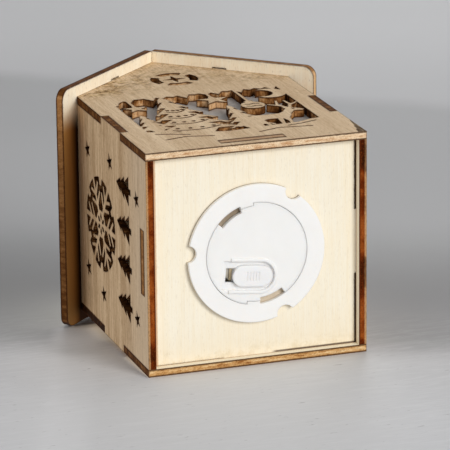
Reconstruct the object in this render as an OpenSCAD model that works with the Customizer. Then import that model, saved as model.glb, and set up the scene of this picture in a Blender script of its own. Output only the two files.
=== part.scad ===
// Plywood house lantern with an LED unit in its floor. Millimetres, +Z up, front towards -Y.

/* [House] */
// Outer width over the two side walls
body_w = 60; // [56:0.5:66]
// Outer depth over the front and back walls
body_d = 60; // [56:0.5:66]
// Thickness of the wall and roof plywood
ply = 2.1; // [1.8:0.1:2.4]
// Height of the side walls
eave_h = 60; // [57:0.5:64]
// Height of the gable peak under the roof
peak_h = 88; // [84:0.5:92]
// Play left by the laser beside tabs and slots
kerf = 0.06; // [0.03:0.01:0.12]
// Length of the tab on each upright edge of a side wall
side_tab_len = 17; // [12:0.5:20]
// Height of the middle of those tabs
side_tab_z = 30; // [26:0.5:34]

/* [Floor] */
// Thickness of the floor panel
floor_t = 3.2; // [2.8:0.1:3.6]
// Height of the floor panel's under face above the wall bottoms
floor_z = 2.3; // [2.1:0.1:2.8]
// Length of the tab in the middle of each floor edge
floor_tab_len = 17.5; // [12:0.5:20]
// Gap between the floor panel and the right wall
floor_gap = 0.45; // [0.1:0.05:0.8]
// Play between the round hole and the LED cup
hole_play = 0.25; // [0.1:0.05:0.4]

/* [Roof] */
// How far the roof reaches out past the side walls
eave_over = 5.5; // [4:0.5:7]
// How far the roof reaches out past the front and back walls
gable_over = 3.15; // [2:0.05:5]
// Radius of the roof panel's two eave corners
roof_corner_r = 3; // [1:0.5:5]
// Length of the gable tab that goes through each roof slot
roof_tab_len = 4; // [3:0.5:8]
// How far each roof slot reaches past the face of the gable
roof_slot_out = 0.35; // [0.1:0.05:0.6]

/* [Front window] */
// Width of the fretwork window
window_w = 46.4; // [44:0.2:48]
// Height of the fretwork window
window_h = 44.1; // [42:0.1:46]
// Height of the window's lower edge
window_z = 7.9; // [7:0.1:9]
// Width of the fine slits cut in the figures
slit_w = 0.4; // [0.3:0.05:0.6]
// Radius of the small round holes on the big tree
bead_r = 0.55; // [0.4:0.05:0.8]
// Number of icicles along the top of the window
icicle_n = 15; // [11:2:19]
// Length of the longest icicle
icicle_len = 4; // [3:0.2:5]
// Width of the strings that the stars and the bauble hang on
string_w = 0.9; // [0.7:0.1:1.2]
// Thickness of the light-spreading film
film_t = 0.2; // [0.1:0.05:0.4]
// How far the film reaches past the window
film_lap = 1.8; // [1:0.1:2.2]

/* [Gable rosette] */
// Radius of the rosette
gable_ros_r = 6.5; // [5:0.25:7.5]
// Height of its middle
gable_ros_z = 68; // [66:0.5:70]

/* [Side ornaments] */
// Radius of the snowflake rosette
flake_r = 12.7; // [11:0.1:13]
// Height of the snowflake's middle
flake_z = 40; // [39.5:0.5:42]
// Width of the snowflake's arms
flake_arm_w = 1.5; // [1.2:0.1:1.8]
// Radius of the small stars over their points
star_r = 2.4; // [1.8:0.1:2.8]
// Height of the row of small trees
row_tree_h = 12.2; // [10:0.1:12.6]
// Width of each small tree
row_tree_w = 8; // [6:0.1:8.6]
// Height of the row's feet
row_z = 13.2; // [13:0.1:14]
// Spacing of the trees in the row
row_pitch = 10.6; // [9.6:0.1:11]

/* [LED housing] */
// Radius of the flange
flange_r = 18.6; // [18:0.1:20]
// Thickness of the flange
flange_t = 1.5; // [1.4:0.05:1.7]
// Outer radius of the cup
cup_r = 16.2; // [16:0.1:16.6]
// Wall thickness of the cup
cup_wall = 1.2; // [1:0.1:1.4]
// Height of the cup's top over the wall bottoms
cup_top_z = 10.2; // [9.8:0.1:12]
// Thickness of the cup's top
cup_roof_t = 1.2; // [1:0.05:1.4]
// Radius of the three rounded flange notches
flange_notch_r = 2.3; // [2:0.1:2.4]
// How far each snap barb stands out over the hole's edge
barb_out = 0.8; // [0.5:0.1:1.2]
// Width of each snap barb
barb_w = 4; // [3:0.5:6]

/* [Battery cover] */
// Radius of the cover
cover_r = 13.7; // [13.5:0.05:13.9]
// Thickness of the cover
cover_t = 1.4; // [1.3:0.05:1.45]
// Radial play of the cover in the flange
cover_play = 0.1; // [0.03:0.01:0.1]
// Play above and below moving faces
face_play = 0.05; // [0.03:0.01:0.06]
// Width of the ledge that the cover turns against
ledge_w = 1.7; // [1.4:0.1:1.8]
// Thickness of that ledge
ledge_t = 0.7; // [0.5:0.05:0.75]
// Radial depth of the two finger notches
grip_depth = 1.7; // [1.4:0.1:2]
// Angle the finger notches span
grip_span = 30; // [26:1:31]
// Angle the hooks span
hook_span = 15; // [13:1:20]
// How far the two hooks reach in over the cover
hook_reach = 0.7; // [0.5:0.05:0.9]
// Thickness of the hooks
hook_t = 0.6; // [0.5:0.05:0.7]
// Turn of the cover's own axes at rest
cover_turn = 6; // [4:0.5:8]

/* [Switch] */
// Distance from the cover's middle to the knob's track
track_y = 6; // [5.8:0.1:6.2]
// Length of the knob
knob_len = 10.9; // [10.6:0.1:11.3]
// Width of the knob
knob_w = 5.6; // [5.2:0.1:5.8]
// Depth of the grip lines in the knob
line_depth = 0.08; // [0.05:0.01:0.15]
// Height of the knob's face over the wall bottoms
knob_z = 0.3; // [0.2:0.05:0.4]
// Distance the knob slides
knob_travel = 2.6; // [2.2:0.1:2.7]
// Outer radius of the U-shaped guide rib
guide_r = 4.7; // [4.6:0.1:4.9]
// Width of the guide rib
guide_rib_w = 0.8; // [0.7:0.05:0.9]
// How far the guide rib stands out of the cover
guide_out = 0.35; // [0.25:0.05:0.4]
// Depth of the sunk floor the knob runs on
track_depth = 0.6; // [0.5:0.05:0.65]
// Width of the slot under the knob
track_slot_w = 3.8; // [3.4:0.1:3.9]

/* [Cell and light] */
// Radius of the coin cell
cell_r = 10; // [9.8:0.05:10.1]
// Thickness of the coin cell
cell_t = 3.2; // [3:0.05:3.25]
// Thickness of the contact strips
strip_t = 0.25; // [0.2:0.01:0.28]
// Width of the contact strips
strip_w = 2; // [1.6:0.1:2]
// Radius of the LED's lens
lens_r = 2.5; // [2.2:0.1:2.6]
// Height of the LED's straight part over its rim
lens_h = 5.2; // [4:0.1:6]
// Width of the square LED legs
leg_w = 0.5; // [0.4:0.05:0.55]
// Spacing of the LED legs
leg_pitch = 2.54; // [2.5:0.01:2.6]

/* [Hidden] */
$fn = 96;
inner_w = body_w - 2 * ply;
inner_d = body_d - 2 * ply;
slope = atan2(peak_h - eave_h, body_w / 2);
roof_len = (body_w / 2 + eave_over) / cos(slope);
gable_len = body_w / 2 / cos(slope);
flange_z = floor_z - flange_t;
cover_z = flange_z;
cover_top = cover_z + cover_t;
cup_in = cup_r - cup_wall;
grip_a = [-124.5, 71];
// Each hook stands just past its finger notch
hook_a = [for (a = grip_a) a + (grip_span + hook_span) / 2 + 0.7];
barb_a = [185, -57, 65.5];
track_z = cover_z + track_depth;
guide_x = 1.5;
knob_x = -0.65;
knob_left = knob_x - knob_len / 2;
stem_left = knob_left + 1;
stem_right = 1;
plate_t = 0.5;
plate_z = cover_top + face_play;
bridge_z = plate_z + plate_t;
foot_z = bridge_z + strip_t + face_play;
cell_z = foot_z + 0.15;
cell_top = cell_z + cell_t;
under_roof = cup_top_z - cup_roof_t;
rim_h = 1;
lead_y = 5.2;

// Plain 2D helpers

module block_2d(x0, x1, y0, y1) {
    translate([x0, y0]) square([x1 - x0, y1 - y0]);
}

module bar_2d(a, b, wa, wb) {
    d = b - a;
    n = [-d[1], d[0]] / norm(d) / 2;
    polygon([a + n * wa, a - n * wa, b - n * wb, b + n * wb]);
}

module slit_path_2d(pts) {
    for (i = [0:len(pts) - 2]) bar_2d(pts[i], pts[i + 1], slit_w, slit_w);
}

module star_2d(r) {
    polygon([for (i = [0:9]) let (k = i % 2 == 0 ? r : 0.4 * r) k * [sin(36 * i), cos(36 * i)]]);
}

module wedge_2d(middle, span, reach) {
    polygon([[0, 0], for (i = [-2:2]) let (a = middle + i * span / 4) reach * [cos(a), sin(a)]]);
}

module ring_part_2d(r_in, r_out, middle, span) {
    intersection() {
        difference() {
            circle(r_out);
            circle(r_in);
        }
        wedge_2d(middle, span, 2 * r_out);
    }
}

// Winter figures for the window, each drawn over its own foot point

function fir_side(w, h, tiers, s) = [
    for (i = [0:tiers - 1]) let (k = 1 - i / tiers, z = h * i / tiers, step = h / tiers)
        each [[s * w * 0.2 * k, z + step * 0.16], [s * w * 0.36 * k, z + step * 0.2],
              [s * w * 0.41 * k, z - step * 0.05], [s * w * 0.5 * k, z],
              [s * w * 0.3 * k, z + step * 0.62]]];

module fir_2d(w, h, tiers, foot) {
    right = fir_side(w, h, tiers, 1);
    left = fir_side(w, h, tiers, -1);
    n = len(left) - 1;
    polygon([[w * 0.07, -foot], each right, [0, h], for (i = [n:-1:0]) left[i], [-w * 0.07, -foot]]);
}

module deer_2d(s) {
    body = [[0, 0], [1.1, 0], [1.5, 4.6], [2.2, 7.6], [7.2, 7.5], [9.2, 6.8], [9.7, 4.2],
            [9.3, 0], [10.4, 0], [11, 4.4], [11.3, 7.2], [12.6, 9.6], [13.4, 11.8],
            [15.3, 14.6], [17.6, 14], [18.5, 14.7], [18.2, 15.7], [15.9, 17.6],
            [14.6, 18.4], [13.4, 18.9], [12.6, 18.3], [13.3, 17.2], [11.4, 14.2],
            [9.8, 12.8], [5.2, 12.6], [1.4, 12.9], [0, 12.2], [-1.2, 13.3], [-1.4, 11.7],
            [-0.6, 9.6], [-0.6, 7.4], [-0.9, 5.2], [-0.4, 3.6]];
    polygon(body * s);
    bar_2d([1.9, 8.4] * s, [3.3, 0] * s, 2.2 * s, 1 * s);
    bar_2d([8.4, 8.4] * s, [7.2, 0] * s, 1.9 * s, 1 * s);
    bar_2d([14.5, 17.6] * s, [12.2, 22.4] * s, 1.2 * s, 1 * s);
    bar_2d([12.4, 21.7] * s, [13.6, 26.6] * s, 1.1 * s, 0.7 * s);
    bar_2d([12.9, 20.8] * s, [9.7, 23.4] * s, 1 * s, 0.7 * s);
    bar_2d([15, 17.8] * s, [16.7, 22.6] * s, 1.2 * s, 1 * s);
    bar_2d([16.4, 21.8] * s, [15.9, 26.2] * s, 1.1 * s, 0.7 * s);
    bar_2d([16.2, 21] * s, [19.2, 23.6] * s, 1 * s, 0.7 * s);
}

module moon_2d(r) {
    difference() {
        circle(r);
        translate([-0.5 * r, 0.1 * r]) circle(0.72 * r);
    }
}

module hanging_star_2d(drop, r) {
    block_2d(-string_w / 2, string_w / 2, -drop, 0.5);
    translate([0, -drop]) star_2d(r);
}

module hanging_bauble_2d(drop, r) {
    block_2d(-string_w / 2, string_w / 2, -drop, 0.5);
    block_2d(-0.36 * r, 0.36 * r, -drop - 0.6 * r, -drop);
    translate([0, -drop - 1.35 * r]) circle(r);
}

module corner_2d(r) {
    difference() {
        block_2d(-1, r, -r, 1);
        translate([r, -r]) circle(0.84 * r);
    }
}

// Everything below the window's lower edge is snow, so the figures stand on it
// A row of icicles of uneven length along the top of the window
module icicles_2d() {
    pitch = window_w / icicle_n;
    for (i = [0:icicle_n - 1]) translate([(i - icicle_n / 2) * pitch, window_h])
        polygon([[-0.3, 0.5], [pitch + 0.3, 0.5], [pitch + 0.3, -0.5], [pitch * 0.55,
                 -icicle_len * (0.62 + 0.38 * sin(i * 137))], [-0.3, -0.5]]);
}

module window_figures_2d() {
    ux = window_w / 46.4;
    uz = window_h / 44.1;
    half = window_w / 2;
    // Snow, rising to a bank on either side
    polygon([[-half - 1, -1], [half + 1, -1], [half + 1, 9.6 * uz], [20.5 * ux, 9 * uz],
             [16.5 * ux, 7.2 * uz], [10 * ux, 6.8 * uz], [3 * ux, 5.8 * uz], [-3 * ux, 5.2 * uz],
             [-9 * ux, 6.4 * uz], [-16 * ux, 8.8 * uz], [-21 * ux, 10.8 * uz],
             [-half - 1, 11.4 * uz]]);
    translate([-9.9 * ux, 8.2 * uz]) fir_2d(26.4 * ux, 34.6 * uz, 6, 5 * uz);
    translate([-20 * ux, 12 * uz]) fir_2d(10.4 * ux, 15.6 * uz, 4, 2.6 * uz);
    translate([4.6 * ux, 7.4 * uz]) fir_2d(13 * ux, 22 * uz, 5, 3.4 * uz);
    translate([6.2 * ux, 5.6 * uz]) deer_2d(0.88 * min(ux, uz));
    translate([half - 4 * ux, 37.2 * uz]) moon_2d(4.6 * uz);
    translate([3.2 * ux, window_h]) hanging_star_2d(8 * uz, 4.6 * uz);
    translate([-19 * ux, window_h]) hanging_star_2d(9.6 * uz, 3.6 * uz);
    translate([11.2 * ux, window_h]) hanging_bauble_2d(12.4 * uz, 3.3 * uz);
    translate([-half, window_h]) corner_2d(5.4 * uz);
    icicles_2d();
}

module window_slits_2d() {
    ux = window_w / 46.4;
    uz = window_h / 44.1;
    for (k = [[9.4, 6.6], [15.6, 5.2], [21.4, 4], [27.2, 2.7]]) {
        mid = [-9.9 * ux, k[0] * uz];
        slit_path_2d([for (i = [-3:3]) mid + [i / 3 * k[1] * ux, (i * i / 9 * 1.7 + i * 0.12) * uz]]);
        for (i = [-1.5, -0.5, 0.5, 1.5])
            translate(mid + [i / 2 * k[1] * ux, (1.9 + i * i * 0.25) * uz])
                circle(bead_r, $fn = 8);
    }
    slit_path_2d([[-21 * ux, 2.6 * uz], [-15 * ux, 4 * uz], [-8 * ux, 2.2 * uz]]);
    slit_path_2d([[-22 * ux, 8.6 * uz], [-18 * ux, 7.4 * uz], [-13.5 * ux, 5.4 * uz]]);
    slit_path_2d([[13 * ux, 4.8 * uz], [17 * ux, 5.6 * uz], [21.6 * ux, 7.2 * uz]]);
    slit_path_2d([[4 * ux, 1.6 * uz], [10 * ux, 3.6 * uz], [19 * ux, 2.4 * uz]]);
    for (i = [-1, 1]) translate([11.2 * ux, window_h - (16.9 + 1.1 * i) * uz])
        slit_path_2d([for (k = [-3:2:3]) [0.67 * k * ux, (k == -3 || k == 1 ? 0.3 : -0.3) * uz]]);
    translate([19.9 * ux, 20.2 * uz]) circle(slit_w, $fn = 8);
}

// The front fretwork: the window opening is cut, then the figures are left standing in it.
// The figures share their feet or strings with the frame, so the sheet stays in one piece.
module window_cut_2d() {
    difference() {
        block_2d(-window_w / 2, window_w / 2, 0, window_h);
        window_figures_2d();
    }
}

module gable_rosette_2d() {
    r = gable_ros_r;
    for (a = [0:90:270]) rotate(a) difference() {
        ring_part_2d(0.56 * r, r, 0, 66);
        translate([-0.34 * r, 0]) circle(0.98 * r);
    }
    polygon([for (i = [0:7]) let (k = i % 2 == 0 ? 0.5 * r : 0.15 * r) k * [cos(45 * i), sin(45 * i)]]);
}

module flake_2d() {
    r = flake_r;
    w = flake_arm_w;
    difference() {
        circle(r);
        circle(0.3 * r);
        for (a = [0:60:300]) rotate(a) {
            block_2d(-w / 2, w / 2, 0, r + 1);
            for (s = [-1, 1]) {
                bar_2d([0, 0.42 * r], [s * 0.3 * r, 0.64 * r], w * 0.85, w * 0.6);
                bar_2d([0, 0.64 * r], [s * 0.26 * r, 0.86 * r], w * 0.85, w * 0.6);
            }
        }
        for (a = [30:60:330]) rotate(a) bar_2d([0, 0.84 * r], [0, r + 1], 0.12 * r, 0.24 * r);
    }
    for (a = [0:60:300]) rotate(a + 30)
        polygon([[0, 0.07 * r], [0.05 * r, 0.16 * r], [0, 0.25 * r], [-0.05 * r, 0.16 * r]]);
}

module row_tree_2d() {
    w = row_tree_w;
    h = row_tree_h;
    polygon([[-0.1 * w, 0], [0.1 * w, 0], [0.1 * w, 0.14 * h], [0.5 * w, 0.14 * h],
             [0.2 * w, 0.44 * h], [0.38 * w, 0.44 * h], [0.13 * w, 0.71 * h],
             [0.25 * w, 0.71 * h], [0, h], [-0.25 * w, 0.71 * h], [-0.13 * w, 0.71 * h],
             [-0.38 * w, 0.44 * h], [-0.2 * w, 0.44 * h], [-0.5 * w, 0.14 * h],
             [-0.1 * w, 0.14 * h]]);
}

// Plywood panels

module gable_panel_2d() {
    half = body_w / 2;
    tab_lo = side_tab_z - side_tab_len / 2 - kerf;
    tab_hi = side_tab_z + side_tab_len / 2 + kerf;
    difference() {
        union() {
            polygon([[-half, 0], [half, 0], [half, eave_h], [0, peak_h], [-half, eave_h]]);
            for (s = [-1, 1]) {
                mid = [s * half / 2, (peak_h + eave_h) / 2];
                along = [cos(slope), -s * sin(slope)] * roof_tab_len / 2;
                up = [s * sin(slope), cos(slope)] * ply;
                polygon([mid - along - up, mid + along - up, mid + along + up, mid - along + up]);
            }
        }
        for (s = [-1, 1]) translate([s * half, 0]) block_2d(-ply, ply, tab_lo, tab_hi);
        block_2d(-floor_tab_len / 2 - kerf, floor_tab_len / 2 + kerf, floor_z,
                 floor_z + floor_t + kerf);
    }
}

module side_panel_2d() {
    half = body_d / 2;
    difference() {
        union() {
            block_2d(-half + ply, half - ply, 0, eave_h);
            block_2d(-half, half, side_tab_z - side_tab_len / 2, side_tab_z + side_tab_len / 2);
        }
        block_2d(-floor_tab_len / 2 - kerf, floor_tab_len / 2 + kerf, floor_z,
                 floor_z + floor_t + kerf);
        translate([0, flake_z]) flake_2d();
        for (p = [[-17.6, 51.2], [-19.4, 31.2], [-15.5, 8.3], [15.6, 52], [19.2, 38.6], [17, 8.9]])
            translate([p[0] * body_d, p[1] * eave_h] / 60) star_2d(star_r);
        for (i = [-1.5:1:1.5]) translate([i * row_pitch, row_z]) row_tree_2d();
    }
}

module roof_panel_2d() {
    far = body_d / 2 + gable_over;
    slot_a = gable_len / 2 - roof_tab_len / 2 - kerf;
    slot_b = gable_len / 2 + roof_tab_len / 2 + kerf;
    difference() {
        union() {
            block_2d(0, roof_len - roof_corner_r, -far, far);
            block_2d(0, roof_len, -far + roof_corner_r, far - roof_corner_r);
            for (s = [-1, 1])
                translate([roof_len - roof_corner_r, s * (far - roof_corner_r)])
                    circle(roof_corner_r);
        }
        for (s = [-1, 1]) mirror([0, s > 0 ? 1 : 0])
            block_2d(slot_a, slot_b, -body_d / 2 - roof_slot_out, -body_d / 2 + ply + kerf);
    }
}

module front_wall() {
    color("BurlyWood")
        translate([0, ply - body_d / 2, 0]) rotate([90, 0, 0]) linear_extrude(ply)
            difference() {
                gable_panel_2d();
                translate([0, window_z]) window_cut_2d();
                translate([0, window_z]) window_slits_2d();
                translate([0, gable_ros_z]) gable_rosette_2d();
            }
}

module back_wall() {
    color("BurlyWood")
        translate([0, body_d / 2, 0]) rotate([90, 0, 0]) linear_extrude(ply) gable_panel_2d();
}

module left_wall() {
    color("Tan")
        translate([-body_w / 2, 0, 0]) rotate([90, 0, 90]) linear_extrude(ply) side_panel_2d();
}

module right_wall() {
    color("Tan")
        translate([body_w / 2 - ply, 0, 0]) rotate([90, 0, 90]) linear_extrude(ply)
            side_panel_2d();
}

module base_panel() {
    tab = floor_tab_len / 2;
    color("Wheat")
        translate([0, 0, floor_z]) linear_extrude(floor_t)
            difference() {
                union() {
                    block_2d(-inner_w / 2, inner_w / 2 - floor_gap, kerf - inner_d / 2,
                             inner_d / 2 - kerf);
                    block_2d(-body_w / 2, body_w / 2, -tab, tab);
                    block_2d(-tab, tab, -body_d / 2, body_d / 2);
                }
                circle(cup_r + hole_play);
            }
}

module roof_panel_right() {
    color("BurlyWood")
        translate([0, 0, peak_h]) rotate([0, slope, 0]) linear_extrude(ply) roof_panel_2d();
}

module roof_panel_left() {
    color("BurlyWood")
        mirror([1, 0, 0]) translate([0, 0, peak_h]) rotate([0, slope, 0]) linear_extrude(ply)
            roof_panel_2d();
}

module diffuser_sheet() {
    half = window_w / 2 + film_lap;
    color([0.97, 0.97, 0.98])
        translate([-half, ply - body_d / 2, window_z - film_lap])
            cube([2 * half, film_t, window_h + 2 * film_lap]);
}

// LED unit

module led_housing() {
    hole_edge = cup_r + hole_play;
    color([0.98, 0.97, 0.95]) difference() {
        union() {
            translate([0, 0, flange_z]) linear_extrude(flange_t) difference() {
                circle(flange_r);
                circle(cover_r + cover_play);
                for (a = barb_a) rotate(a) translate([flange_r + 0.2, 0])
                    circle(flange_notch_r);
            }
            translate([0, 0, floor_z]) linear_extrude(under_roof - floor_z) difference() {
                circle(cup_r);
                circle(cup_in);
            }
            translate([0, 0, under_roof]) cylinder(h = cup_roof_t, r = cup_r);
            // Hooks that hold the cover from outside
            for (a = hook_a) translate([0, 0, flange_z]) linear_extrude(hook_t)
                ring_part_2d(cover_r - hook_reach, cover_r + 1, a, hook_span);
            // Ledge above the cover, with a rib up the wall at each quarter
            translate([0, 0, cover_top + face_play]) linear_extrude(ledge_t) difference() {
                circle(cup_in + 0.3);
                circle(cover_r - ledge_w);
            }
            for (a = [-30, 20, 130, 215]) rotate(a)
                translate([cover_r - 1, -1, cover_top + face_play])
                    cube([cup_in - cover_r + 1.3, 2, under_roof - cover_top]);
            // Posts round the coin cell
            for (a = [-90, 35, 200]) rotate(a) translate([cell_r + 0.05, -2.5, cell_z])
                cube([1.3, 5, under_roof - cell_z + 0.2]);
            // Barbs that clip over the floor panel
            for (a = barb_a) rotate(a) translate([0, barb_w / 2, floor_z + floor_t])
                rotate([90, 0, 0]) linear_extrude(barb_w)
                    polygon([[cup_r - 0.6, 0], [hole_edge + barb_out, 0],
                             [hole_edge + barb_out, 0.5], [cup_r - 0.2, 2.6], [cup_r - 0.6, 2.6]]);
        }
        for (s = [-1, 1]) translate([s * leg_pitch / 2, 0, cup_top_z - cup_roof_t / 2])
            cube([leg_w + 0.1, leg_w + 0.1, cup_roof_t + 1], center = true);
    }
}

module in_cover() {
    rotate(cover_turn) children();
}

module track_2d(half_w) {
    intersection() {
        union() {
            block_2d(-cover_r, guide_x, track_y - half_w, track_y + half_w);
            translate([guide_x, track_y]) circle(half_w);
        }
        block_2d(knob_left - knob_travel - 0.1, cover_r, -cover_r, cover_r);
    }
}

module battery_cover() {
    color([0.96, 0.96, 0.95]) difference() {
        union() {
            translate([0, 0, cover_z]) linear_extrude(cover_t) circle(cover_r);
            in_cover() translate([0, 0, cover_z - guide_out])
                linear_extrude(guide_out + 0.2) intersection() {
                    block_2d(knob_left - guide_rib_w, cover_r, -cover_r, cover_r);
                    difference() {
                        track_2d(guide_r);
                        track_2d(guide_r - guide_rib_w);
                    }
                }
        }
        for (a = grip_a) translate([0, 0, cover_z - 1]) linear_extrude(cover_t + 2)
            ring_part_2d(cover_r - grip_depth, cover_r + 1, a, grip_span);
        // Pockets that the hooks lie in, open to the finger notches so that the cover can turn
        for (i = [0, 1]) translate([0, 0, cover_z - 1])
            linear_extrude(1 + hook_t + face_play)
                let (end_a = hook_a[i] + hook_span / 2 + 0.5)
                    ring_part_2d(cover_r - hook_reach - cover_play, cover_r + 1,
                                 (grip_a[i] + end_a) / 2, end_a - grip_a[i]);
        in_cover() translate([0, 0, cover_z - 1]) linear_extrude(1 + track_depth)
            track_2d(guide_r - guide_rib_w);
        in_cover() translate([0, 0, cover_z - 1]) linear_extrude(cover_t + 2)
            block_2d(stem_left - knob_travel - 0.1, stem_right + 0.1,
                     track_y - track_slot_w / 2, track_y + track_slot_w / 2);
    }
}

module switch_knob() {
    mid = [knob_x, track_y];
    color([0.9, 0.92, 0.95, 0.8]) in_cover() {
        difference() {
            translate([0, 0, knob_z]) linear_extrude(track_z - face_play - knob_z)
                union() {
                    translate(mid) square([knob_len - knob_w, knob_w], center = true);
                    for (s = [-1, 1]) translate(mid + [s * (knob_len - knob_w) / 2, 0])
                        circle(knob_w / 2);
                }
            for (i = [-2:2]) translate([mid[0] + 0.8 * i - 0.15, mid[1] - 1.2, knob_z - 1])
                cube([0.3, 2.4, 1 + line_depth]);
        }
        translate([0, 0, track_z - face_play - 0.1])
            linear_extrude(plate_z - track_z + face_play + 0.2)
                block_2d(stem_left, stem_right, track_y - track_slot_w / 2 + 0.1,
                         track_y + track_slot_w / 2 - 0.1);
        translate([0, 0, plate_z]) linear_extrude(plate_t)
            let (half = track_slot_w / 2 + 0.4)
                block_2d(stem_left - 0.6, stem_right + 1.4, track_y - half, track_y + half);
    }
}

module slide_contact() {
    color("Gold") in_cover() translate([0, 0, bridge_z]) linear_extrude(strip_t)
        let (half = track_slot_w / 2 - 0.2)
            block_2d(stem_left - 1.3, stem_right + 1, track_y - half, track_y + half);
}

module contact_positive() {
    left = -12.9;
    half = strip_w / 2;
    color("Gold") {
        translate([left, lead_y - half, under_roof - strip_t])
            cube([-left + leg_pitch / 2 + half, strip_w, strip_t]);
        translate([leg_pitch / 2 - half, -half / 2, under_roof - strip_t])
            cube([strip_w, lead_y + half, strip_t]);
        translate([left, lead_y - half, foot_z]) cube([strip_t, strip_w, under_roof - foot_z]);
        translate([left, lead_y - half, foot_z]) cube([3.3, strip_w, strip_t]);
    }
}

module contact_negative() {
    t = strip_t;
    color("Silver")
        translate([-leg_pitch / 2 - strip_w / 2, 0, 0]) rotate([90, 0, 90])
            linear_extrude(strip_w - 0.2)
                polygon([[0.7, under_roof], [-8, under_roof], [-8, under_roof - 2 * t],
                         [-2.4, cell_top], [-1.2, cell_top], [-0.2, cell_top + 0.9],
                         [-0.45, cell_top + 1.1], [-1.3, cell_top + t], [-2.3, cell_top + t],
                         [-7.4, under_roof - 1.6 * t], [-7.4, under_roof - t],
                         [0.7, under_roof - t]]);
}

// The cell's three shells nest: can outside, sealing ring, cap inside
cell_wall = 0.35;
seal_in = cell_r - 0.75;
crimp_in = cell_r - 0.9;
cap_step = cell_r - 1.2;

module cell_can() {
    color("Silver") translate([0, 0, cell_z]) rotate_extrude()
        polygon([[0, 0], [cell_r, 0], [cell_r, cell_t - 0.2], [crimp_in, cell_t - 0.2],
                 [crimp_in, cell_t - 0.5], [cell_r - cell_wall, cell_t - 0.5],
                 [cell_r - cell_wall, cell_wall], [0, cell_wall]]);
}

module cell_gasket() {
    color("DimGray") translate([0, 0, cell_z]) rotate_extrude()
        polygon([[seal_in, cell_wall], [cell_r - cell_wall, cell_wall],
                 [cell_r - cell_wall, cell_t - 0.5], [seal_in, cell_t - 0.5]]);
}

module cell_cap() {
    color("Silver") translate([0, 0, cell_z]) rotate_extrude()
        polygon([[0, cell_wall], [seal_in, cell_wall], [seal_in, cell_t - 0.5],
                 [cap_step, cell_t - 0.5], [cap_step, cell_t], [0, cell_t]]);
}

module leg(side) {
    translate([side * leg_pitch / 2 - leg_w / 2, -leg_w / 2, under_roof])
        cube([leg_w, leg_w, cup_roof_t + rim_h + lens_h * 0.6]);
}

module led_leg_anode() {
    color("Silver") leg(1);
}

module led_leg_cathode() {
    color("Silver") {
        leg(-1);
        translate([-leg_pitch / 2 - leg_w / 2, -leg_w / 2, cup_top_z + rim_h + lens_h * 0.6])
            cube([leg_pitch - leg_w * 0.8, leg_w, leg_w]);
    }
}

module led_bulb() {
    color([0.95, 0.97, 1, 0.6]) difference() {
        union() {
            translate([0, 0, cup_top_z]) cylinder(h = rim_h, r = lens_r + 0.4);
            translate([0, 0, cup_top_z + rim_h]) cylinder(h = lens_h, r = lens_r);
            translate([0, 0, cup_top_z + rim_h + lens_h]) sphere(lens_r);
        }
        leg(-1);
        leg(1);
        translate([-leg_pitch / 2 - leg_w / 2, -leg_w / 2, cup_top_z + rim_h + lens_h * 0.6])
            cube([leg_pitch - leg_w * 0.8, leg_w, leg_w]);
    }
}

front_wall();
back_wall();
left_wall();
right_wall();
base_panel();
roof_panel_left();
roof_panel_right();
diffuser_sheet();
led_housing();
battery_cover();
switch_knob();
slide_contact();
contact_positive();
contact_negative();
cell_can();
cell_cap();
cell_gasket();
led_bulb();
led_leg_anode();
led_leg_cathode();
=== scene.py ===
# Looks of the plywood house lantern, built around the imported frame. Metres, same frame as the CAD.
import math

import bpy
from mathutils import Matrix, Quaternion, Vector

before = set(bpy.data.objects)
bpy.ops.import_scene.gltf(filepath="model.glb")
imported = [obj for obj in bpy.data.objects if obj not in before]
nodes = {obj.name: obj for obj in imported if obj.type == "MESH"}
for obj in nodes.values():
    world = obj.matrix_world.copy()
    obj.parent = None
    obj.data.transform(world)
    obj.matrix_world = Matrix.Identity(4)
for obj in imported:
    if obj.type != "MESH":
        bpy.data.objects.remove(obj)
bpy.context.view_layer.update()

# Sizes of the part that the materials follow, in mm
PLY = 2.1               # thickness of the walls and the roof
HALF = 30.0             # from the middle to a wall's outer face
INNER = HALF - PLY      # from the middle to its inner face
PEAK_Z = 88.0           # where the slopes of a gable meet
RISE = 28.0             # how far a slope falls over HALF
SLOPE = math.atan2(RISE, HALF)
EAVE_X = 37.0           # just outside the roof's lower edges
EAVE_Z = 55.0           # about their height
OVERHANG = 3.15         # how far the roof stands out past the front and back walls
FLOOR_Z = 2.3           # underside of the floor panel
FLOOR_T = 3.2           # its thickness
CUTS_Z = (4.2, 4.8)     # the walls' cuts and fingers begin between these heights
CUP_Z = 2.2             # the LED unit's inside begins above this height


# Colours

def srgb(r, g, b):
    """A screen colour as Blender's linear one."""
    def lin(c):
        c /= 255.0
        return c / 12.92 if c <= 0.04045 else ((c + 0.055) / 1.055) ** 2.4
    return (lin(r), lin(g), lin(b), 1.0)


# Laser burns, from black to a light toast
# SOOT_AND_SHADE is also the painted shade where the left eave meets the table and under the eave's
# back
SOOT_AND_SHADE = srgb(46, 26, 14)
# CHAR_AND_SHADE is also painted shade in gaps: the floor panel's wide lines and the line at its back
# edge
CHAR_AND_SHADE = srgb(66, 36, 18)
BROWN = srgb(110, 68, 33)
AMBER = srgb(178, 127, 77)
TOAST = srgb(222, 180, 134)
BURNS = [(0.0, SOOT_AND_SHADE), (0.4, BROWN), (0.75, AMBER), (1.0, TOAST)]

# Dark and light of a panel's face, and the pores in it
FACE = (srgb(203, 173, 137), srgb(237, 212, 178))
SIDE = (srgb(178, 144, 106), srgb(236, 205, 166))
ROOF = (srgb(248, 232, 204), srgb(253, 244, 223))
PALE = (srgb(248, 237, 213), srgb(250, 243, 226))
PORE = srgb(118, 82, 54)

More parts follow.
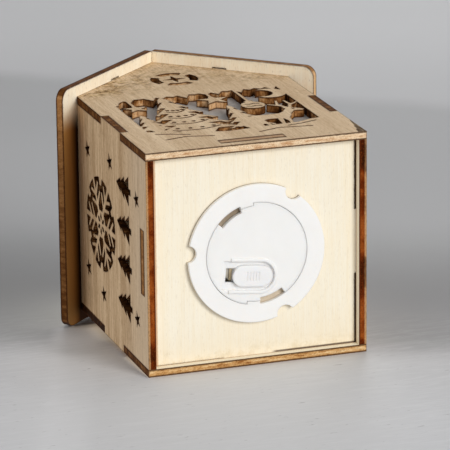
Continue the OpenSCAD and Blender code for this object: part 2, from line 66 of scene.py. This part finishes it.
# Dark, middle and light of a cut edge's core
CREAMY = (srgb(196, 146, 102), srgb(236, 204, 166), srgb(248, 226, 194))
GOLDEN = (srgb(156, 98, 46), srgb(214, 164, 104), srgb(240, 208, 158))
RUSTY = (srgb(34, 11, 2), srgb(108, 40, 5), srgb(164, 86, 32))
STRAW = (srgb(160, 118, 76), srgb(206, 166, 120), srgb(230, 196, 150))
EARTHY = (srgb(176, 136, 100), srgb(200, 164, 128), srgb(212, 180, 144))

# Smoke and other marks, with painted light and shade
SPOT = srgb(150, 120, 82)
# GABLE_SMOKE_AND_LIGHT: its lightest stop is painted light from the roof's underside
GABLE_SMOKE_AND_LIGHT = [(0.36, srgb(234, 208, 158)), (0.5, srgb(168, 134, 86)), (0.64, srgb(92, 62, 30))]
# EAVE_SMOKE_AND_SHADE: toward the walls its stops are smoke and painted shade
EAVE_SMOKE_AND_SHADE = [(0.0, srgb(110, 76, 38)), (0.2, srgb(186, 138, 80)), (0.6, srgb(166, 116, 62)),
              (0.78, srgb(124, 82, 38)), (0.95, SOOT_AND_SHADE)]
FIBRES = [(0.0, SOOT_AND_SHADE), (0.5, srgb(104, 82, 58)), (1.0, srgb(190, 166, 132))]
BLEACHED = srgb(238, 220, 196)
BELOW_FLOOR_LIGHT = srgb(246, 236, 214)


# Camera

cam = bpy.data.cameras.new("camera")
cam.sensor_fit = "HORIZONTAL"
cam.sensor_width = 36.0
cam.lens = 294.42
cam.clip_start = 0.05
cam.clip_end = 12.0
cam_ob = bpy.data.objects.new("camera", cam)
cam_ob.location = (-0.2984865, -0.2847191, -0.8543957)
cam_ob.rotation_mode = "QUATERNION"
cam_ob.rotation_quaternion = Quaternion((0.14500411, 0.97570445, 0.02909311, -0.16164226))
scene = bpy.context.scene
scene.collection.objects.link(cam_ob)
scene.camera = cam_ob
scene.view_settings.view_transform = "Standard"


class Graph:
    """A material, and short names for the shader nodes used below."""

    def __init__(self, name):
        self.mat = bpy.data.materials.new(name)
        self.mat.use_nodes = True
        self.tree = self.mat.node_tree
        self.tree.nodes.clear()
        self.out = self.tree.nodes.new("ShaderNodeOutputMaterial")

    def put(self, socket, value):
        """Links or writes value, and leaves the socket alone where it is None."""
        if isinstance(value, bpy.types.NodeSocket):
            self.tree.links.new(value, socket)
        elif value is not None:
            socket.default_value = value

    def node(self, kind, **props):
        n = self.tree.nodes.new(kind)
        for key, value in props.items():
            setattr(n, key, value)
        return n

    def math(self, op, a, b=None, c=None):
        n = self.node("ShaderNodeMath", operation=op)
        for socket, value in zip(n.inputs, (a, b, c)):
            self.put(socket, value)
        return n.outputs[0]

    def add(self, total, *others):
        for value in others:
            total = self.math("ADD", total, value)
        return total

    def mul(self, total, *others):
        for value in others:
            total = self.math("MULTIPLY", total, value)
        return total

    def sub(self, a, b):
        return self.math("SUBTRACT", a, b)

    def abs(self, a):
        return self.math("ABSOLUTE", a)

    def max(self, a, b):
        return self.math("MAXIMUM", a, b)

    def vec(self, op, a, b):
        n = self.node("ShaderNodeVectorMath", operation=op)
        self.put(n.inputs[0], a)
        self.put(n.inputs["Scale"] if op == "SCALE" else n.inputs[1], b)
        return n.outputs["Value"] if op == "DOT_PRODUCT" else n.outputs[0]

    def split(self, v):
        n = self.node("ShaderNodeSeparateXYZ")
        self.put(n.inputs[0], v)
        return tuple(n.outputs)

    def stretch(self, v, x, y, z):
        return self.vec("MULTIPLY", v, (x, y, z))

    def scale(self, v, axes, along, across):
        """v times along on the marked axes, and times across on the others."""
        return self.stretch(v, *[along if marked else across for marked in axes])

    def noise(self, v, scale=1.0, detail=3.0, rough=0.55, warp=0.0):
        n = self.node("ShaderNodeTexNoise")
        self.put(n.inputs["Vector"], v)
        n.inputs["Scale"].default_value = scale
        n.inputs["Detail"].default_value = detail
        n.inputs["Roughness"].default_value = rough
        n.inputs["Distortion"].default_value = warp
        return n.outputs["Fac"]

    def step(self, v, lo, hi, a=0.0, b=1.0, kind="SMOOTHSTEP"):
        """a up to lo and b from hi on, with an S curve between."""
        n = self.node("ShaderNodeMapRange", interpolation_type=kind)
        self.put(n.inputs["Value"], v)
        for key, value in zip(("From Min", "From Max", "To Min", "To Max"), (lo, hi, a, b)):
            n.inputs[key].default_value = value
        return n.outputs["Result"]

    def line(self, v, lo, hi, a=0.0, b=1.0):
        """As step, but straight between lo and hi."""
        return self.step(v, lo, hi, a, b, "LINEAR")

    def mix(self, fac, a, b):
        n = self.node("ShaderNodeMix", data_type="RGBA")
        self.put(n.inputs[0], fac)
        self.put(n.inputs[6], a)
        self.put(n.inputs[7], b)
        return n.outputs[2]

    def ramp(self, fac, stops, kind="LINEAR"):
        n = self.node("ShaderNodeValToRGB")
        n.color_ramp.interpolation = kind
        elements = n.color_ramp.elements
        while len(elements) < len(stops):
            elements.new(0.5)
        for element, (position, colour) in zip(elements, stops):
            element.position = position
            element.color = colour
        self.put(n.inputs[0], fac)
        return n.outputs["Color"]

    def place(self):
        """Object coordinates in millimetres."""
        return self.vec("SCALE", self.node("ShaderNodeTexCoord").outputs["Object"], 1000.0)

    def flat_normal(self):
        return self.node("ShaderNodeNewGeometry").outputs["True Normal"]

    def facing(self, axis):
        """How far the surface faces along x, y or z, from -1 to 1."""
        return self.split(self.flat_normal())["xyz".index(axis)]

    def rounded(self, mm, samples=4):
        n = self.node("ShaderNodeBevel")
        n.samples = samples
        n.inputs["Radius"].default_value = mm / 1000.0
        return n.outputs[0]

    def near_edge(self, mm):
        """0 on open faces, rising towards 1 at an edge, over about mm."""
        d = self.vec("DOT_PRODUCT", self.rounded(mm), self.flat_normal())
        return self.step(d, 0.99, 0.9)

    def bump(self, height, strength, mm, normal=None):
        n = self.node("ShaderNodeBump")
        n.inputs["Strength"].default_value = strength
        n.inputs["Distance"].default_value = mm / 1000.0
        self.put(n.inputs["Height"], height)
        self.put(n.inputs["Normal"], normal)
        return n.outputs[0]

    def surface(self, colour, rough, normal, **values):
        n = self.node("ShaderNodeBsdfPrincipled")
        self.put(n.inputs["Base Color"], colour)
        self.put(n.inputs["Roughness"], rough)
        self.put(n.inputs["Normal"], normal)
        for key, value in values.items():
            n.inputs[key.replace("_", " ")].default_value = value
        self.put(self.out.inputs[0], n.outputs[0])


def paint(node_name, mat):
    ob = nodes[node_name]
    ob.data.materials.clear()
    ob.data.materials.append(mat)


# Plywood. p is the place in mm, v the same place shifted so that no two panels share a pattern.

def grained(g, v, grain, tones, streak):
    """A face, and the streaks and pores in it, all drawn out along the grain."""
    axes = [axis == grain for axis in "xyz"]
    bands = g.noise(g.scale(v, axes, 0.0098, 0.28), 1.0, 3.0, 0.5, 0.4)
    streaks = g.noise(g.scale(v, axes, 0.0735, 2.1), 1.0, 4.0, 0.65)
    fine = g.noise(g.scale(v, axes, 0.4, 7.0), 1.0, 2.0, 0.6)
    pores = g.step(g.noise(g.scale(v, axes, 0.55, 6.0), 1.3, 1.0, 0.4), 0.66, 0.74)
    tone = g.add(g.mul(bands, 0.28), g.mul(streaks, 0.42), g.mul(fine, 0.30))
    face = g.ramp(g.line(tone, 0.4, 0.6), [(0.0, tones[0]), (1.0, tones[1])])
    return g.mix(g.mul(pores, 0.62 * streak), face, PORE), streaks, pores


def layered(g, v, through, depth, core, veneers, patches, flecks, speck, grit):
    """A cut edge's layers. depth runs from 0 at the outer face to 1 at the inner one."""
    depth = g.add(depth, g.mul(g.add(g.noise(v, 0.9, 2.0, 0.6), -0.5), 0.12))
    flow = g.noise(g.scale(v, through, 1.5, 0.32), 1.0, 4.0, 0.65)
    broad = g.noise(v, 0.1, 3.0, 0.55)
    flow = g.add(g.line(flow, 0.34, 0.66, 0.0, 1.0 - patches),
                 g.line(broad, 0.4, 0.6, 0.0, patches))
    cut = g.ramp(flow, list(zip((0.0, 0.5, 1.0), core)))
    outer = g.mul(g.step(depth, 0.34, 0.16), g.step(flow, 0.0, 0.5, 1.0 - patches))
    cut = g.mix(outer, cut, veneers[0])
    cut = g.mix(g.step(depth, 0.76, 0.92), cut, veneers[1])
    cut = g.mix(g.step(grit, 0.54, 0.68, 0.0, flecks), cut, speck)
    cut = g.mix(g.step(grit, 0.46, 0.34, 0.0, 0.4), cut, core[2])
    return g.mix(g.step(g.noise(v, 5.0, 2.0, 0.6), 0.5, 0.64, 0.0, 0.4), cut, speck)


def plywood(name, normal, face_at, grain, tones, core, veneers, scorch, seed, stain_and_shading=None,
            marks=None, thick=PLY, streak=1.0, outline=0.9, line_w=0.28, flecks=0.5,
            speck=BROWN, patches=0.0):
    """normal points out of the panel and face_at is where its outer face lies along it (mm).
    thick is the sheet's thickness (mm), and grain is the axis that its grain runs along.
    tones are the dark and light of the face, with pores as strong as streak. stain_and_shading gives
    the colour and mask of smoke, painted shade and painted light on it, and marks changes it last.
    A cut edge shows core between veneers (outer and inner), with burnt lines as strong as
    outline and line_w wide (mm), and flecks of the colour speck. patches is the share of its
    tone that comes in broad stretches. scorch gives the mask and heat of the cuts that the
    laser left brown all through."""
    g = Graph(name)
    p = g.place()
    v = g.vec("ADD", p, (seed * 37.0, seed * 11.0, seed * 23.0))
    face, streaks, pores = grained(g, v, grain, tones, streak)
    # Smoke and marks, with painted shade under the eaves and painted light on the gable
    if stain_and_shading:
        colour, mask = stain_and_shading(g, p, v)
        face = g.mix(mask, face, colour)

    # Charred outline of every cut
    wear = g.noise(v, 1.1, 3.0, 0.7)
    rim = g.near_edge(0.5)
    halo = g.mul(g.near_edge(1.6), g.step(wear, 0.38, 0.7, 0.08, 0.4))
    face = g.mix(halo, face, g.mix(0.55, face, CHAR_AND_SHADE))
    face = g.mix(g.mul(rim, g.step(wear, 0.25, 0.6, 0.55, 1.0)), face, CHAR_AND_SHADE)
    if marks:
        face = marks(g, p, v, face)

    # Cut edge, with a burnt line along each face of the sheet. On the floor panel the lines are
    # wide, and are painted shade of the gaps in the slots that hold it as well as burns
    through = [abs(part) > 0.5 for part in normal]
    depth = g.sub(face_at, g.vec("DOT_PRODUCT", p, normal))
    to_face = g.math("MINIMUM", depth, g.sub(thick, depth))
    lines = g.max(rim, g.step(g.add(to_face, g.mul(wear, -0.4)), line_w, 0.02))
    grit = g.noise(v, 2.6, 4.0, 0.7)
    cut = layered(g, v, through, g.math("DIVIDE", depth, thick), core, veneers, patches,
                  flecks, speck, grit)
    cut = g.mix(g.mul(lines, outline), cut, CHAR_AND_SHADE)
    combs = g.noise(g.scale(v, through, 0.3, 0.8), 1.0, 3.0, 0.65)
    mask, heat = scorch(g, p, combs)
    burnt = g.mix(g.step(grit, 0.5, 0.62, 0.0, flecks), g.ramp(heat, BURNS), SOOT_AND_SHADE)
    cut = g.mix(mask, cut, g.mix(g.mul(lines, 0.85), burnt, CHAR_AND_SHADE))

    # Face or cut edge, by the surface's direction
    is_face = g.step(g.abs(g.vec("DOT_PRODUCT", g.flat_normal(), normal)), 0.6, 0.8)
    height = g.mix(is_face, g.mul(grit, 1.2), g.sub(g.mul(streaks, 0.5), g.mul(pores, 0.8)))
    g.surface(g.mix(is_face, cut, face), g.step(streaks, 0.3, 0.7, 0.62, 0.78),
              g.bump(height, 0.35, 0.12, g.rounded(0.1)), Specular_IOR_Level=0.02)
    return g.mat


# Stains: the colour and the mask of the smoke on a face, with painted shade under the eaves and
# painted light on the gable

def spot_stain(g, p, v):
    """Light marks, far apart."""
    return SPOT, g.step(g.noise(v, 0.16, 4.0, 0.7, 0.5), 0.58, 0.75, 0.0, 0.3)


def gable_smoke_and_light(g, p, v):
    """Mottled smoke over the window, deepest along the roof and on the left.
    Its lightest specks are painted light from the roof's pale underside.
    """
    x, _, z = g.split(p)
    below_roof = g.sub(PEAK_Z, g.add(z, g.mul(g.abs(x), RISE / HALF)))
    zone = g.mul(g.step(z, 53.0, 61.0), g.step(below_roof, 24.0, 4.0, 0.35, 1.0),
                 g.step(x, -14.0, -3.0, 1.0, 0.55))
    clouds = g.noise(v, 0.26, 3.0, 0.6, 0.5)
    specks = g.noise(v, 0.8, 4.0, 0.68, 0.4)
    spots = g.add(g.mul(clouds, 0.55), g.mul(specks, 0.45))
    # The ramp's lightest stop is painted light from the roof's pale underside
    return g.ramp(specks, GABLE_SMOKE_AND_LIGHT), g.mul(zone, g.step(spots, 0.42, 0.58), 0.85)


def eave_smoke_and_shade(g, p, v):
    """Smoke and painted shade under the eaves, beside and behind the walls, over the light marks.
    The painted shade deepens toward the walls and the back. The right eave has little of both."""
    x, y, _ = g.split(p)
    under = g.step(g.facing("z"), -0.2, -0.5)
    out = g.abs(x)
    beside = g.mul(g.step(y, -HALF - 0.5, -HALF + 9.0), g.step(out, HALF - 0.6, HALF - 0.1))
    behind = g.step(y, HALF - 0.6, HALF - 0.1)
    left = g.step(x, -10.0, 10.0, 1.0, 0.3)
    zone = g.mul(under, left, g.max(beside, behind))
    # Smoke, and painted shade darkest next to the wall
    smoke = g.ramp(g.line(out, EAVE_X, HALF + 0.2), EAVE_SMOKE_AND_SHADE)
    # Painted shade, deeper toward the back, where the eave nears the table
    smoke = g.mix(g.step(y, 12.0, 32.0, 0.0, 0.3), smoke, SOOT_AND_SHADE)
    spot, spots = spot_stain(g, p, v)
    return g.mix(zone, spot, smoke), g.max(zone, g.mul(left, spots))


# Marks: a face with something more on it, painted light and shade among them

def splinter(g, p, v, face):
    """The front panel's lower right corner, where the top veneer has split away."""
    x, _, z = g.split(p)
    fray = g.noise(g.stretch(v, 2.6, 1.0, 0.25), 1.0, 4.0, 0.75)
    limit = g.add(g.line(z, 0.0, 15.0, 27.7, 30.4), g.mul(g.add(fray, -0.5), 1.6))
    torn = g.step(g.sub(x, limit), -0.1, 0.1)
    return g.mix(torn, face, g.ramp(g.line(fray, 0.3, 0.7), FIBRES))


def skirt(g, p, v, face):
    """The outer faces pale toward the bottom edge. The inner ones have painted light below the floor
    panel and painted shade beside its edge."""
    z = g.split(p)[2]
    face = g.mix(g.step(z, 22.0, 4.0, 0.0, 0.32), face, BLEACHED)
    outward = g.vec("DOT_PRODUCT", g.flat_normal(), g.stretch(p, 1.0, 1.0, 0.0))
    inner = g.step(outward, -4.0, -12.0)
    # On the inner faces: painted shade beside the floor panel's edge, and painted light below it
    top = FLOOR_Z + FLOOR_T
    beside = g.mul(g.step(z, FLOOR_Z - 0.1, FLOOR_Z + 0.1), g.step(z, top + 1.0, top))
    face = g.mix(g.mul(inner, beside), face, BROWN)
    return g.mix(g.mul(inner, g.step(z, FLOOR_Z - 0.1, FLOOR_Z - 0.9)), face, BELOW_FLOOR_LIGHT)


def base_marks(g, p, v, face):
    """A faint grain from front to back, smoke, painted shade toward the back wall and in a gap's
    line along part of the back edge, and a toasted strip beside the left wall."""
    x, y, _ = g.split(p)
    lines = g.noise(g.stretch(v, 3.2, 0.05, 1.0), 1.0, 3.0, 0.6)
    face = g.mix(g.step(lines, 0.5, 0.72, 0.0, 0.13), face, srgb(214, 190, 146))
    clouds = g.step(g.noise(v, 0.35, 4.0, 0.7), 0.42, 0.7, 0.0, 0.4)
    smoke = g.mul(g.step(y, INNER - 5.4, INNER - 0.3), clouds)
    face = g.mix(smoke, face, srgb(196, 176, 132))
    # Painted shade, growing toward the back wall
    face = g.mix(g.step(y, 14.0, 27.0, 0.0, 0.3), face, srgb(240, 222, 190))
    strip = g.add(x, g.mul(g.noise(v, 0.8, 3.0, 0.6), 0.3))
    face = g.mix(g.step(strip, 1.55 - INNER, 1.05 - INNER, 0.0, 0.85), face, srgb(196, 152, 112))
    # Painted shade of a gap, in a line along part of the back edge
    gap_shade = g.mul(g.step(y, INNER - 0.6, INNER - 0.3), g.step(x, 4.0, 6.0), 0.8)
    return g.mix(gap_shade, face, CHAR_AND_SHADE)


# Scorches: the mask and the heat of the cuts that are brown all through, where heat 0 is soot
# and 1 a light toast. combs are the streaks that the beam leaves across an edge.

def fretwork(g, p, across):
    """1 away from a wall's outer edges. across is 0 for x or 1 for y."""
    xyz = g.split(p)
    return g.mul(g.step(g.abs(xyz[across]), HALF - 2.0, HALF - 2.4), g.step(xyz[2], *CUTS_Z))


def wall_heat(g, p, combs, across, inner_low, outer_low, spread=0.0):
    """Fretwork cuts are combed, with painted light where they look down, toward the key lamp;
    the others are an even brown. inner_low and outer_low are the heat of the darkest streaks, and
    spread is how far the heat of one fretwork cut strays from the next."""
    painted_light_down = g.step(g.facing("z"), -0.35, -0.8, 0.0, 0.36)
    stray = g.step(g.noise(p, 0.13, 3.0, 0.6), 0.4, 0.6, -spread, spread)
    inner = g.add(g.line(combs, 0.3, 0.9, inner_low, inner_low + 1.0), painted_light_down, stray)
    outer = g.line(combs, 0.32, 0.68, outer_low - 0.08, outer_low + 0.38)
    inside = fretwork(g, p, across)
    return g.add(g.mul(inner, inside), g.mul(outer, g.sub(1.0, inside)))


def front_scorch(g, p, combs, outer_low=0.2):
    """All the cuts but the bottom edge."""
    bottom = g.mul(g.step(g.facing("z"), -0.9, -0.95), g.step(g.split(p)[2], 0.3, 0.1))
    return g.sub(1.0, bottom), wall_heat(g, p, combs, 0, 0.02, outer_low, 0.3)


def back_scorch(g, p, combs):
    """As in front, with painted shade making it darker toward the roof, under the eave."""
    mask, heat = front_scorch(g, p, combs, 0.24)
    return mask, g.add(heat, g.step(g.split(p)[2], 12.0, 34.0, 0.0, -0.42))


def side_scorch(g, p, combs):
    """The fretwork, and the finger ends that show in the front and back walls."""
    _, y, z = g.split(p)
    ends = g.mul(g.step(g.abs(y), HALF - 0.2, HALF - 0.1), g.step(z, *CUTS_Z))
    return g.max(fretwork(g, p, 1), ends), wall_heat(g, p, combs, 1, -0.2, 0.22)


def roof_scorch(g, p, combs):
    """Left edges are dark, more so toward the back and at the gable ends. Right ones are
    lighter."""
    x, y, _ = g.split(p)
    end = g.step(g.abs(g.facing("y")), 0.4, 0.6)
    right = g.step(x, -1.0, 3.0)
    heat = g.add(g.line(combs, 0.3, 0.7, 0.24, 0.54), g.line(y, -HALF, HALF, 0.34, 0.0),
                 g.mul(end, -0.42), g.mul(right, g.math("MULTIPLY_ADD", end, -0.22, 0.36)))
    return g.math("MULTIPLY_ADD", right, -0.25, 1.0), heat


def tab_scorch(g, p, combs):
    """The ends of the tabs that show in the side walls: laser brown, darkened as painted shade of
    the slots they sit in.
    """
    x = g.abs(g.split(p)[0])
    return g.step(x, HALF - 1.0, HALF - 0.6), g.line(combs, 0.3, 0.7, 0.5, 0.8)


paint("front_wall", plywood(
    "ply_front", (0, -1, 0), HALF, "z", FACE, CREAMY, (srgb(240, 212, 174), srgb(236, 202, 158)),
    front_scorch, 0.3, gable_smoke_and_light, splinter, flecks=0.3))
paint("back_wall", plywood(
    "ply_back", (0, 1, 0), HALF, "z", FACE, GOLDEN, (srgb(206, 156, 100), srgb(230, 190, 136)),
    back_scorch, 1.7, spot_stain, skirt, line_w=0.42, flecks=0.6))
for side, sign, seed in (("left", -1, 2.9), ("right", 1, 4.1)):
    paint(side + "_wall", plywood(
        "ply_" + side, (sign, 0, 0), HALF, "y", SIDE, RUSTY, (srgb(208, 162, 112), srgb(96, 36, 8)),
        side_scorch, seed, spot_stain, skirt, streak=1.3, outline=0.25, flecks=0.6, speck=SOOT_AND_SHADE,
        patches=0.75))
    paint("roof_panel_" + side, plywood(
        "ply_roof_" + side, (sign * math.sin(SLOPE), 0.0, math.cos(SLOPE)),
        PEAK_Z * math.cos(SLOPE) + PLY, "y", ROOF, STRAW, (STRAW[1], STRAW[1]),
        roof_scorch, 5.3 + sign, eave_smoke_and_shade, streak=0.6, flecks=0.3))
# The floor panel's wide dark lines are burns and painted shade of the gaps in the side walls' slots
paint("base_panel", plywood(
    "ply_base", (0, 0, -1), -FLOOR_Z, "y", PALE, EARTHY, (EARTHY[1], EARTHY[1]),
    tab_scorch, 7.7, marks=base_marks, thick=FLOOR_T, streak=0.22, line_w=1.1, flecks=0.1))


# Plastic, film and metal

def plastic(name, light, dark, rough, milky, cup=False):
    """milky is how much of the light spreads inside. A part with a cup gets painted shade inside
    it, tan and darker toward the front."""
    g = Graph(name)
    p = g.place()
    haze = g.noise(p, 0.12, 3.0, 0.6)
    colour = g.ramp(g.line(haze, 0.3, 0.7), [(0.0, dark), (1.0, light)])
    if cup:
        _, y, z = g.split(p)
        # Painted shade inside the cup: tan, darker toward the front
        shade = g.mix(g.step(y, -14.0, 4.0), srgb(134, 116, 92), srgb(208, 192, 168))
        colour = g.mix(g.step(z, CUP_Z - 0.9, CUP_Z, 0.0, 0.95), colour, shade)
    grit = g.noise(p, 5.0, 2.0, 0.5)
    g.surface(colour, g.line(haze, 0.3, 0.7, rough, rough + 0.08),
              g.bump(grit, 0.12, 0.02, g.rounded(0.35, 6)), Subsurface_Weight=milky,
              Subsurface_Scale=0.0012, Subsurface_Radius=(1.0, 0.92, 0.84), IOR=1.49)
    return g.mat


paint("led_housing", plastic(
    "plastic_housing", srgb(251, 250, 248), srgb(248, 246, 243), 0.4, 0.35, cup=True))
paint("battery_cover", plastic(
    "plastic_cover", srgb(250, 248, 246), srgb(246, 244, 242), 0.42, 0.7))
paint("switch_knob", plastic(
    "plastic_knob", srgb(249, 248, 249), srgb(244, 243, 245), 0.35, 0.8))
paint("cell_gasket", plastic(
    "plastic_gasket", srgb(196, 184, 160), srgb(182, 170, 146), 0.5, 0.0))


def metal(name, colour, rough):
    """Drawn metal, dull enough to show its colour in the shade of the cup."""
    g = Graph(name)
    lines = g.noise(g.stretch(g.place(), 12.0, 0.6, 4.0), 1.0, 3.0, 0.6)
    dark = g.mix(0.25, colour, (0.1, 0.09, 0.08, 1.0))
    g.surface(g.mix(g.step(lines, 0.35, 0.65), colour, dark),
              g.step(lines, 0.3, 0.7, rough, rough + 0.15), g.bump(lines, 0.2, 0.01),
              Metallic=0.25)
    return g.mat


brass = metal("metal_brass", srgb(240, 220, 180), 0.4)
steel = metal("metal_steel", srgb(226, 220, 206), 0.36)
for name in ("slide_contact", "contact_positive"):
    paint(name, brass)
for name in ("contact_negative", "cell_can", "cell_cap", "led_leg_anode", "led_leg_cathode"):
    paint(name, steel)

lens = Graph("lens_clear")
swirl = lens.noise(lens.place(), 0.6, 2.0, 0.5)
lens.surface(lens.mix(swirl, srgb(250, 248, 240), srgb(244, 244, 244)), 0.08,
             lens.bump(swirl, 0.05, 0.02), Transmission_Weight=0.7, IOR=1.5)
paint("led_bulb", lens.mat)


def blended(g, share, first, second):
    """The material's surface: first, and as much as share of second."""
    n = g.node("ShaderNodeMixShader")
    g.put(n.inputs[0], share)
    g.put(n.inputs[1], first.outputs[0])
    g.put(n.inputs[2], second.outputs[0])
    g.put(g.out.inputs[0], n.outputs[0])


film = Graph("film_white")
fibre = film.noise(film.place(), 0.9, 4.0, 0.7)
sheet = film.mix(fibre, srgb(200, 194, 190), srgb(220, 214, 208))
front = film.node("ShaderNodeBsdfPrincipled")
film.put(front.inputs["Base Color"], sheet)
front.inputs["Roughness"].default_value = 0.55
film.put(front.inputs["Normal"], film.bump(fibre, 0.2, 0.05))
through = film.node("ShaderNodeBsdfTranslucent")
film.put(through.inputs["Color"], sheet)
blended(film, 0.35, front, through)
paint("diffuser_sheet", film.mat)


# Stage: a pale table behind the part as it lies in the picture, and a floor under it for the
# upright views. Each shows from its front side only and blocks no light.

STAGE_GAP = 0.05        # mm between the part and either of them
STAGE_FAR = 1500.0      # mm from the part to their far edges
TABLE_NEAR = -900.0     # mm to the table's near edges

def one_sided(name, colour_of):
    g = Graph(name)
    shader = g.node("ShaderNodeBsdfPrincipled")
    shader.inputs["Roughness"].default_value = 0.6
    shader.inputs["Specular IOR Level"].default_value = 0.2
    g.put(shader.inputs["Base Color"], colour_of(g, g.place()))
    blended(g, g.node("ShaderNodeNewGeometry").outputs["Backfacing"], shader,
            g.node("ShaderNodeBsdfTransparent"))
    return g.mat


def quad(name, corners, mat):
    """A four-cornered sheet, its corners in mm."""
    me = bpy.data.meshes.new(name)
    me.from_pydata([tuple(c * 0.001 for c in corner) for corner in corners], [], [(0, 1, 2, 3)])
    me.materials.append(mat)
    ob = bpy.data.objects.new(name, me)
    scene.collection.objects.link(ob)
    ob.visible_shadow = False
    ob.visible_diffuse = False
    ob.visible_glossy = False


TABLE_LIGHT = 0.815     # share of its written colour that the table gives back under these lamps
BANDS = (-100.0, 600.0)     # mm over the table that the bands below are laid on
NEAR = [(-60, 190), (0, 182), (34, 135), (84, 122), (180, 155), (300, 152)]
FAR = [(300, 166), (530, 181)]


def grey(v, light=1.0):
    """A slightly cool grey that shows as v on screen where it gives back that share of light."""
    r = srgb(v, v, v)[0] / light
    return (0.99 * r, r, 1.035 * r, 1.0)


def table_tone(g, p):
    """A painted table. It is brushed in front and falls into soft bands behind. back runs
    away over it and across runs over the picture, in mm."""
    x, _, z = g.split(p)
    mottle = g.noise(p, 0.05, 3.0, 0.6)
    back = g.add(z, g.mul(x, 0.48), g.mul(g.add(mottle, -0.5), 10.0))
    across = g.sub(g.mul(x, 0.946), g.mul(z, 0.324))

    def bands(stops):
        first, last = BANDS
        return g.ramp(g.line(back, first, last),
                      [((at - first) / (last - first), grey(v, TABLE_LIGHT)) for at, v in stops],
                      "EASE")

    border = g.add(back, g.mul(across, 0.41))
    tone = g.mix(g.step(border, 364.0, 394.0), bands(NEAR), bands(FAR))
    left = g.mul(g.step(across, -60.0, 20.0, 0.15, 0.0), g.step(back, 270.0, 340.0, 0.35, 1.0))
    tone = g.mix(left, tone, (0.1, 0.1, 0.1, 1.0))
    # The pale wood throws light on the table round it, most in the gap beside the left eave
    lift = g.mul(g.step(across, 46.0, 4.0, 0.0, 0.3), g.step(across, -76.0, -44.0),
                 g.step(back, 50.0, 5.0, 0.55, 1.0), g.step(back, 95.0, 60.0))
    tone = g.mix(lift, tone, (0.98, 0.98, 0.98, 1.0))
    gap = g.mul(g.step(across, -39.5, -45.0), g.step(across, -57.0, -51.0))
    open_part = g.add(g.mul(g.step(back, 10.0, 27.0, 0.0, 0.55), g.step(back, 42.0, 38.0)),
                      g.step(back, 14.0, 4.0, 0.0, 0.14))
    tone = g.mix(g.mul(gap, open_part), tone, (0.96, 0.97, 1.0, 1.0))
    # Deep shade where the left eave meets it
    contact = g.mul(g.step(z, 55.2, 57.2), g.step(z, 70.0, 63.0),
                    g.step(x, -34.4, -32.4), g.step(x, -20.0, -26.0))
    tone = g.mix(contact, tone, SOOT_AND_SHADE)
    # Brush strokes and flecks of dirt, which fade with distance
    sharp = g.step(back, 70.0, 15.0)
    strokes = g.noise(g.stretch(p, 0.10, 0.12, 0.6), 1.0, 4.0, 0.7, 0.8)
    tone = g.mix(g.mul(sharp, g.step(strokes, 0.4, 0.75, 0.0, 0.16)), tone,
                 (0.95, 0.95, 0.98, 1.0))
    flecks = g.noise(g.stretch(p, 0.3, 0.5, 1.1), 1.0, 2.0, 0.6, 0.5)
    return g.mix(g.mul(sharp, g.step(flecks, 0.67, 0.77, 0.0, 0.45)), tone,
                 (0.2, 0.19, 0.2, 1.0))


def floor_tone(g, p):
    return g.ramp(g.noise(p, 0.03, 3.0, 0.6), [(0.3, grey(196)), (0.7, grey(201))])


def on_table(x, z):
    """A point of the table, which the back wall and the eaves' far corners lie on."""
    return (x, HALF + STAGE_GAP + z * OVERHANG / EAVE_Z, z)


quad("table", [on_table(TABLE_NEAR, TABLE_NEAR), on_table(STAGE_FAR, TABLE_NEAR),
               on_table(STAGE_FAR, STAGE_FAR), on_table(TABLE_NEAR, STAGE_FAR)],
     one_sided("stage_table", table_tone))
quad("floor", [(-STAGE_FAR, -STAGE_FAR, -STAGE_GAP), (STAGE_FAR, -STAGE_FAR, -STAGE_GAP),
               (STAGE_FAR, STAGE_FAR, -STAGE_GAP), (-STAGE_FAR, STAGE_FAR, -STAGE_GAP)],
     one_sided("stage_floor", floor_tone))


# Light

def sun(name, toward, degrees, colour=(1, 1, 1)):
    """A broad, soft lamp. toward points at it, and is as long as the light that it gives a
    surface that faces it, where 1 renders a colour as written."""
    data = bpy.data.lights.new(name, "SUN")
    data.energy = Vector(toward).length * math.pi
    data.angle = math.radians(degrees)
    data.color = colour
    ob = bpy.data.objects.new(name, data)
    ob.rotation_euler = Vector(toward).to_track_quat("Z", "Y").to_euler()
    scene.collection.objects.link(ob)


sun("key", (0.18, -0.24, -0.52), 28.0, (1.0, 0.985, 0.96))      # beside the camera, to the right
sun("top", (0.19, 0.04, 0.46), 30.0)                            # above, for the upright views
sun("back", (-0.12, 0.28, 0.18), 40.0)

# An even white sky
world = bpy.data.worlds.new("world")
scene.world = world
world.use_nodes = True
sky = world.node_tree
sky.nodes.clear()
background = sky.nodes.new("ShaderNodeBackground")
background.inputs["Color"].default_value = (1.0, 1.0, 1.0, 1.0)
background.inputs["Strength"].default_value = 0.47
sky.links.new(background.outputs[0], sky.nodes.new("ShaderNodeOutputWorld").inputs[0])
